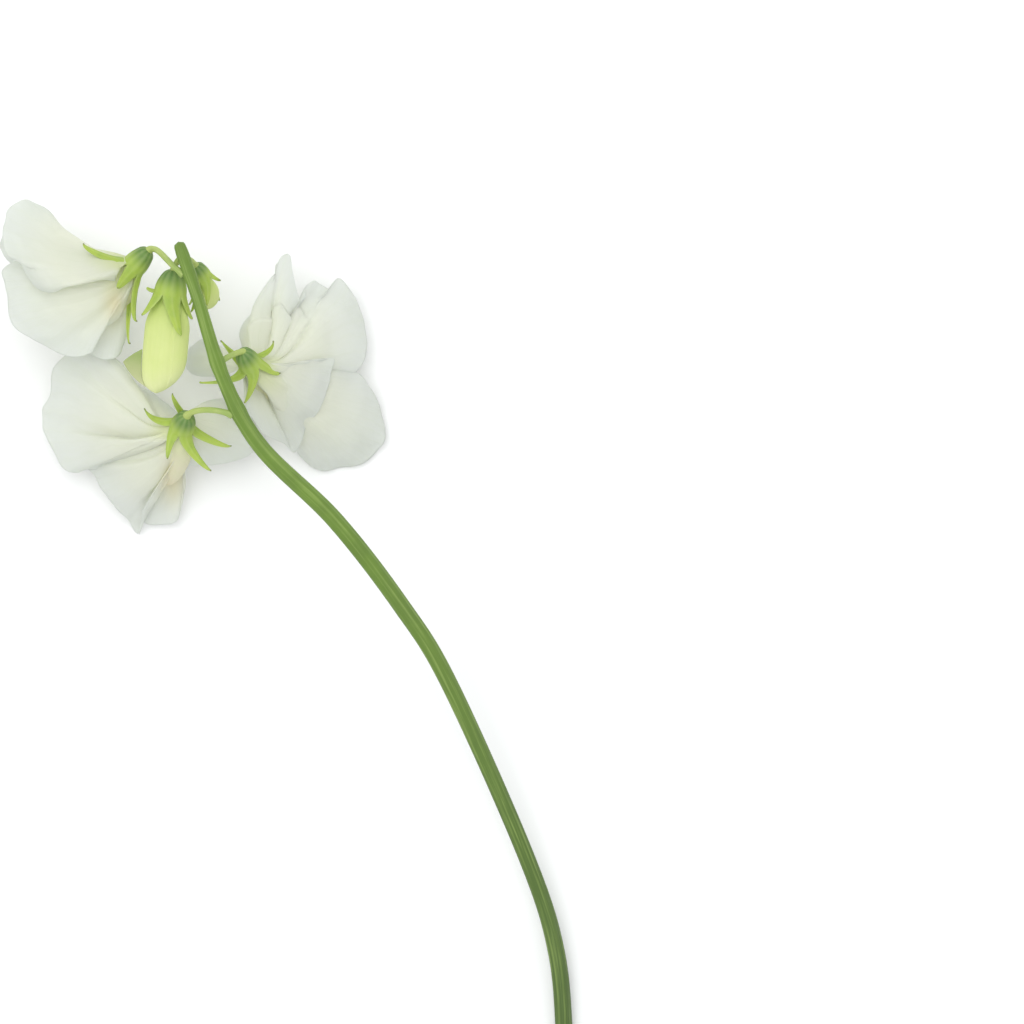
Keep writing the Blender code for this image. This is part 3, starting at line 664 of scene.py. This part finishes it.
for flower in ("third", "first", "second"):
    axes = axesOf(flower)
    forward, left, up = axes
    seat = seatOf(flower)
    petal = standards[flower]
    grid = petalGrid(petal.get("claw", standardClaw), 1, petal, seat, axes, -forward, left)
    addPetal(flower + "_standardVisual", grid, petal, seat)
    for side, sideName, wings in ((1, "left", leftWings), (-1, "right", rightWings)):
        petal = wings[flower]
        outWay = petal.get("bulges", unit(side * left - 0.5 * forward))
        grid = petalGrid(petal.get("claw", wingClaw), side, petal, seat, axes, outWay, up)
        addPetal(flower + "_wing_" + sideName + "Visual", grid, petal, seat)
print("petals")


# Calyx: a bell from a closed foot, its edge carrying five lobes.
calyx = dict(foot=1.45, footRound=0.2, swell=0.95, ribs=10, ribHigh=0.02, rows=18,  # the bell
             lobeRows=40, lobeColumns=14, lead=0.32, bow=0.12, taper=1.25, hollow=0.28, blend=0.28,
             ridgeHigh=0.16, ridgeWide=0.16, wall=0.42, edgeWall=0.16)


# The bell's radius closes at the foot as a quarter circle and grows to the mouth as a quarter sine wave,
# with low ribs along it.
def bellGrid(axes, seat, how):
    forward, left, up = axes
    mouth = how["mouth"]
    turn = np.arange(5 * calyx["lobeColumns"] + 1) / calyx["lobeColumns"] - 0.5
    turn = turn * 2 * np.pi / 5 + how["turned"]
    spokes = np.outer(np.cos(turn), up) + np.outer(np.sin(turn), left)
    t = np.linspace(0, 1, calyx["rows"])
    closing = np.sqrt(1 - (1 - np.clip(t / calyx["footRound"], 0, 1))**2)
    grow = calyx["foot"] * closing + (mouth - calyx["foot"]) * np.sin(np.pi / 2 * t**calyx["swell"])
    rib = 1 + calyx["ribHigh"] * np.cos(calyx["ribs"] * turn) * np.sin(np.pi * t)[:, None]**0.5
    radius = grow[:, None] * rib
    radius[-1] = mouth
    middle = seat + np.outer(t * how["depth"] * mm, forward)
    grid = middle[:, None] + radius[:, :, None] * mm * spokes
    grid[:, -1] = grid[:, 0]
    return grid


# A lobe's middle is a cubic curve from the mouth to its tip, and its width falls away along it. Across,
# it is hollow as a square curve with a ridge in the middle. It turns about its middle by the twist, which
# grows as the power 1.5 of the way, and blends into the bell's edge near the mouth.
def lobeGrid(mouth, tip, out, forward, side, twist, hook, flare):
    middle = mouth[len(mouth) // 2]
    reach = np.linalg.norm(tip - middle)
    lead = middle + calyx["lead"] * reach * unit(forward + flare * out)
    bow = tip + calyx["bow"] * reach * forward - hook * reach * unit(out - forward)
    t = np.linspace(0, 1, calyx["lobeRows"])[:, None]
    spine = bezier(middle, lead, bow, tip, t)
    way = unit(np.gradient(spine, axis=0))
    turned = twist * t**1.5
    normal = unit(np.cross(side, way))
    normal = normal * np.sign(normal[0] @ out)
    wideWay = side * np.cos(turned) + normal * np.sin(turned)
    hollowWay = normal * np.cos(turned) - side * np.sin(turned)
    across = np.linspace(-1, 1, len(mouth))
    wide = np.linalg.norm(mouth[-1] - mouth[0]) / 2 * (1 - t**calyx["taper"])
    sunk = calyx["hollow"] * wide * across**2
    ridge = calyx["ridgeHigh"] * mm * np.exp(-(across / calyx["ridgeWide"])**2) * np.sqrt(1 - t)
    lobe = spine[:, None] + (across * wide)[:, :, None] * wideWay[:, None]
    lobe = lobe + (ridge - sunk)[:, :, None] * hollowWay[:, None]
    base = mouth + (spine - middle)[:, None]
    blend = smoothStep(0, calyx["blend"], t)[:, :, None]
    return base * (1 - blend) + lobe * blend


# Marks of a calyx's points: the way along from foot to tip, how pale a rib or an edge is, and the wall in
# mm. A bell's ribs are a wave across it. A lobe has no columnsPerRib and is pale at its edges and ridge.
def calyxMarks(grid, start, end, columnsPerRib):
    rows, columns = grid.shape[:2]
    along = np.repeat(np.linspace(start, end, rows), columns)
    if columnsPerRib:
        pale = np.tile(0.2 + 0.2 * np.cos(2 * np.pi * np.arange(columns) / columnsPerRib), rows)
        return np.stack([along, pale, np.full(rows * columns, calyx["wall"])], axis=1)
    across = np.tile(np.abs(np.linspace(-1, 1, columns)), rows)
    pale = 0.8 * across**4 + 0.5 * np.exp(-(across / 0.12)**2)
    thin = across**3 * smoothStep(start, start + 0.14, along)
    return np.stack([along, pale, calyx["wall"] - (calyx["wall"] - calyx["edgeWall"]) * thin], axis=1)


def addCalyx(flower):
    how = flowers[flower]
    axes = axesOf(flower)
    forward, left, up = axes
    per = calyx["lobeColumns"]  # columns of the bell for each lobe
    bell = bellGrid(axes, seatOf(flower), how)
    grids = [bell]
    for k, tip in enumerate(how["lobes"]):
        angle = k * 2 * np.pi / 5 + how["turned"]
        out = np.cos(angle) * up + np.sin(angle) * left
        side = np.cos(angle) * left - np.sin(angle) * up
        mouth = bell[-1, k * per:(k + 1) * per + 1]
        tip = spot(flower + "_calyx", tip)
        shape = how["twists"][k], how["hooks"][k], how["flares"][k]
        grids.append(lobeGrid(mouth, tip, out, forward, side, *shape))
    marks = [calyxMarks(bell, 0, 0.3, per / 2)] + [calyxMarks(grid, 0.3, 1, 0) for grid in grids[1:]]
    sheet, marks = weldedMarks(joined([gridSheet(grid) for grid in grids]), np.concatenate(marks))
    shell = shellOf(sheet, marks[:, 2] * mm)
    both = np.concatenate([marks, marks])  # the wall's outer and inner points
    shown = {"along": both[:, 0], "rib": both[:, 1]}
    addPiece(flower + "_calyxVisual", shell, calyxFinish, shown)


for flower in flowers:
    addCalyx(flower)
print("calyces")


# Pods, the keels and buds: rings round an axis that leaves the calyx forward, bends lead mm ahead and
# drop mm lower, and ends at the tip. A ring grows from its share at the foot as a squared sine wave to
# the middle, and closes at the tip along a root curve, blunter with a larger blunt. lap makes it grow
# with the turn, so that one edge laps over the other at the seam, and slant pulls its upper side back
# near the tip.
podBuild = dict(crowding=1.4, footRound=0.05, slantFrom=0.45)


def podGrid(flower, tip, pod):
    forward, _, up = axesOf(flower)
    start = seatOf(flower) + np.array([pod["ahead"], 0, -pod.get("sink", 0)]) @ axesOf(flower) * mm
    elbow = start + forward * pod["lead"] * mm - np.array([0, 0, pod.get("drop", 0)]) * mm
    turn = np.append(np.linspace(0, 2 * np.pi, pod["sides"]), 0)
    t = np.linspace(0, 1, pod["rings"])[:, None]
    t = 1 - (1 - t)**podBuild["crowding"]
    grow = pod["foot"] + (1 - pod["foot"]) * np.sin(np.pi * np.minimum(t, 0.5))**2
    close = np.sqrt(np.maximum(0, 1 - np.maximum(0, 2 * t - 1)**pod["blunt"]))
    opening = np.sqrt(1 - (1 - np.clip(t / podBuild["footRound"], 0, 1))**2)
    full = grow * close * opening / 2
    way = unit((1 - t) * (elbow - start) + t * (tip - elbow))
    rise = unit(up - way * (way @ up)[:, None])
    sideWay = np.cross(way, rise)
    middle = (1 - t)**2 * start + 2 * (1 - t) * t * elbow + t**2 * tip
    lap = 1 + pod["lap"] * (turn / (2 * np.pi) - 0.5)
    lap[-1] = lap[0]
    turn = turn + pod["seam"]
    high = full * pod["tall"] * np.cos(turn) * lap * mm
    wide = full * pod["wide"] * np.sin(turn) * lap * mm
    upper = np.maximum(high + pod["low"] * mm, 0)
    pull = -pod["slant"] * upper * smoothStep(podBuild["slantFrom"], 1.0, t)
    ring = high[:, :, None] * rise[:, None] + wide[:, :, None] * sideWay[:, None]
    return middle[:, None] + ring + pull[:, :, None] * way[:, None]


# tip is a share of the solid's box. A pod starts ahead mm in front of the calyx's foot and sink mm lower.
keelBuild = dict(ahead=2.6, foot=0.28, lead=8.0, blunt=2.4, lap=0.0, seam=0.0, slant=0.15, low=9.0,
                 rings=70, sides=73)
keels = {
    "third": dict(tip=(0.092, 0.024, 0.037), wide=3.0, tall=7.0, sink=0.9),
    "first": dict(tip=(0.179, 0.026, 0.02), wide=6.8, tall=8.0, sink=0.7),
    "second": dict(tip=(0.966, 0.034, 0.019), wide=2.8, tall=4.6, sink=1.0, drop=5.5),
}
for flower, own in keels.items():
    grid = podGrid(flower, spot(flower + "_keel", own["tip"]), {**keelBuild, **own})
    addPiece(flower + "_keelVisual", welded(gridSheet(grid)), keelFinish)

buds = {
    "large_bud": dict(tip=(0.42, 0.02, 0.152), tall=10.8, wide=6.6, ahead=1.6, foot=0.22, lead=12.0,
                      blunt=8.0, lap=0.14, seam=1.1, slant=0.55, low=1.2, rings=110, sides=121),
    "small_bud": dict(tip=(0.46, 0.20, 0.15), tall=6.0, wide=4.4, ahead=1.6, foot=0.42, lead=8.0,
                      blunt=2.2, lap=0.08, seam=1.9, slant=0.3, low=3.0, rings=80, sides=97),
}
for flower, bud in buds.items():
    grid = podGrid(flower, spot(flower + "_standard", bud["tip"]), bud)
    addPiece(flower + "_standardVisual", welded(gridSheet(grid)), budFinish)

# The edge of a wing at the open side of the large bud: a small three-cornered flap on the bud's lower
# side, its dark olive painted shade. Its reach grows nearly straight to the peak and falls again.
flap = dict(start=0.68, peak=0.78, end=0.93, edge=0.2, out=4.3, swell=1.25, lift=0.6, rows=60, columns=26,
            wall=0.35, rings=400)


def flapGrid():
    up = axesOf("large_bud")[2]
    plain = dict(buds["large_bud"], rings=flap["rings"], sides=3, lap=0.0, seam=0.0, slant=0.0)
    rings = podGrid("large_bud", spot("large_bud_standard", plain["tip"]), plain)
    share = np.linspace(flap["start"], flap["end"], flap["rows"])
    side = rings[(share**1.5 * (flap["rings"] - 1)).astype(int), 1]
    rise = np.interp(share, [flap["start"], flap["peak"], flap["end"]], [0, 1, 0])
    swell = (rise * (flap["swell"] - (flap["swell"] - 1) * rise))[:, None, None]
    reach = np.linspace(0, 1, flap["columns"])[None, :, None]
    stand = (flap["edge"] + flap["out"] * swell) * mm
    lift = reach**2 * flap["lift"] * mm * swell * np.array([0, 0, 1])
    return side[:, None] - up * reach * stand + lift


sheet = gridSheet(flapGrid())
flapWall = np.full(len(sheet[0]), flap["wall"] * mm)
addPiece("large_bud_wingVisual", shellOf(sheet, flapWall), flapFinish)
print("keels and buds")


# Stem and stalks. A route holds shares of the stem's box and the radius in mm. At each stalk the stem has
# a knot, a bell-shaped swelling, and its tip closes as a quarter circle.
stem = dict(sides=49, rings=420, ribs=5, ribHigh=0.035, knot=0.22, knotLong=2.4, tipRound=1.1, lowest=0.03,
            cap=[0, 0.35, 0.7, 0.93, 0.985])  # the cut face's rings, as shares of the radius
stemRoute = [(0.978, 0.001, 0.052, 2.1), (0.956, 0.126, 0.116, 2.05), (0.881, 0.245, 0.213, 2.0),
             (0.686, 0.46, 0.457, 2.05), (0.564, 0.557, 0.575, 2.1), (0.401, 0.66, 0.702, 2.1),
             (0.217, 0.749, 0.82, 1.95), (0.125, 0.831, 0.891, 1.7), (0.061, 0.929, 0.942, 1.5),
             (0.013, 0.998, 0.967, 1.3)]
# A stalk starts out in the stem, a share of its radius from the middle, and ends into mm inside the
# calyx.
stalk = dict(sides=25, rings=70, radius=0.72, lead=0.35, out=0.8, into=0.4, thicker=0.35, foot=0.10,
             collar=0.8, endRound=0.02)


# A circle with low ribs, carried along a route. reference is square to the plane that the route bends in.
def rodGrid(route, radii, reference, sides, ribs=0, ribHigh=0.0):
    turn = np.linspace(0, 2 * np.pi, sides)
    way = unit(np.gradient(route, axis=0))
    side = unit(np.cross(way, reference))
    rise = np.cross(side, way)
    wave = 1 + ribHigh * np.cos(ribs * turn)
    spokes = np.cos(turn)[:, None] * side[:, None] + np.sin(turn)[:, None] * rise[:, None]
    return route[:, None] + (radii[:, None] * wave)[:, :, None] * spokes


places = np.array([[*spot("stem", place[:3]), place[3] * mm] for place in stemRoute])
stemLine = smoothRoute(places, stem["rings"])
length = np.linalg.norm(np.diff(stemLine[:, :3], axis=0), axis=1).sum()
fromTip = np.linspace(length, 0, stem["rings"])
knots = [np.exp(-((1 - how["onStem"]) * length - fromTip)**2 / (stem["knotLong"] * mm)**2)
         for how in flowers.values()]
radii = stemLine[:, 3] + stem["knot"] * mm * np.max(knots, axis=0)
radii = radii * np.sqrt(1 - (1 - np.clip(fromTip / (stem["tipRound"] * mm), 0, 1))**2)
body = rodGrid(stemLine[:, :3], radii, np.array([0, 0, 1.0]), stem["sides"], stem["ribs"], stem["ribHigh"])
cap = stemLine[0, :3] + (body[0] - stemLine[0, :3]) * np.array(stem["cap"])[:, None, None]
grid = np.concatenate([cap, body])
grid[:, :, 2] = np.maximum(grid[:, :, 2], stem["lowest"] * mm)  # it lies on the surface, not in it
cut = np.repeat(np.arange(len(grid)) < len(cap), stem["sides"]).astype(float)
sheet, cut = weldedMarks(gridSheet(grid), cut)
addPiece("stemVisual", sheet, stemFinish, {"cut": cut})


# A stalk is a cubic curve from the stem to the calyx. It is thicker at its foot, as a bell curve, and
# towards the calyx, and its ends close as quarter circles.
def addStalk(flower, how):
    forward = axesOf(flower)[0]
    ring = int(how["onStem"] * (stem["rings"] - 1))
    root = stemLine[ring, :3]
    way = unit(stemLine[ring + 1, :3] - root)
    out = np.array(how["leaves"])
    out = unit(out - way * (out @ way))
    end = seatOf(flower) + stalk["into"] * mm * forward
    reach = np.linalg.norm(end - root)
    start = root + out * stemLine[ring, 3] * stalk["out"]
    t = np.linspace(0, 1, stalk["rings"])[:, None]
    leave = unit(out + how["climb"] * way)
    lead = start + stalk["lead"] * reach * leave
    line = bezier(start, lead, end - how["arrive"] * reach * forward, end, t)
    t = t[:, 0]
    swelling = np.exp(-(t / stalk["foot"])**2)
    radii = stalk["radius"] + stalk["thicker"] * swelling
    radii = radii + stalk["thicker"] * smoothStep(stalk["collar"], 1.0, t)
    fromEnd = np.minimum(t, 1 - t)
    radii = radii * mm * np.sqrt(1 - (1 - np.clip(fromEnd / stalk["endRound"], 0, 1))**2)
    grid = rodGrid(line, radii, unit(np.cross(end - start, leave)), stalk["sides"])
    addPiece(flower + "_pedicelVisual", welded(gridSheet(grid)), stalkFinish)


for flower, how in flowers.items():
    addStalk(flower, how)
print("stem and stalks")


# The studio: a pale floor, a large soft lamp, a pale sky, and a camera that looks straight down.
studio = dict(floor=(0.98, 0.98, 0.98), floorShade=(0.95, 0.95, 0.95), floorSize=6.0,
              sky=0.89, skyColour=(0.97, 0.985, 1.0),
              lampPower=13.0, lampSize=1.4, lampPlace=(-0.35, 0.45, 1.7),
              cameraHeight=3.0, across=0.24576, middle=(0.05378, 0.02872, 0.020))  # the camera's field


def addFloor():
    half = studio["floorSize"] / 2
    mesh = bpy.data.meshes.new("floor")
    corners = [(-half, -half, 0), (half, -half, 0), (half, half, 0), (-half, half, 0)]
    mesh.from_pydata(corners, [], [(0, 1, 2, 3)])
    finish, tree = newFinish("paleFloor")
    shade = ranged(tree, noise(tree, objectPlace(tree), 3.0), 0.3, 0.7, 0.985, 1.0)
    colour = mixed(tree, shade, studio["floorShade"], studio["floor"])
    surface = addNode(tree, "ShaderNodeBsdfPrincipled", {"Base Color": colour, "Roughness": 0.7})
    addNode(tree, "ShaderNodeOutputMaterial", {"Surface": surface.outputs[0]})
    mesh.materials.append(finish)
    floor = bpy.data.objects.new("floor", mesh)
    bpy.context.scene.collection.objects.link(floor)


def addLightAndCamera():
    world = bpy.data.worlds.new("paleSky")
    world.use_nodes = True
    background = world.node_tree.nodes["Background"]
    background.inputs[0].default_value = (*studio["skyColour"], 1)
    background.inputs[1].default_value = studio["sky"]
    bpy.context.scene.world = world
    lamp = bpy.data.lights.new("softLamp", "AREA")
    lamp.energy = studio["lampPower"]
    lamp.size = studio["lampSize"]
    lampObject = bpy.data.objects.new("softLamp", lamp)
    place = np.array(studio["lampPlace"])
    lampObject.location = place
    lampObject.rotation_euler = Vector(place).to_track_quat("Z", "Y").to_euler()
    lampObject.visible_camera = False
    bpy.context.scene.collection.objects.link(lampObject)
    camera = bpy.data.cameras.new("camera")
    camera.lens = camera.sensor_width * studio["cameraHeight"] / studio["across"]
    camera.clip_end = 50
    cameraObject = bpy.data.objects.new("camera", camera)
    x, y, z = studio["middle"]
    cameraObject.location = (x, y, z + studio["cameraHeight"])
    bpy.context.scene.collection.objects.link(cameraObject)
    bpy.context.scene.camera = cameraObject
    bpy.context.scene.view_settings.view_transform = "Standard"


addFloor()
addLightAndCamera()
print("studio")
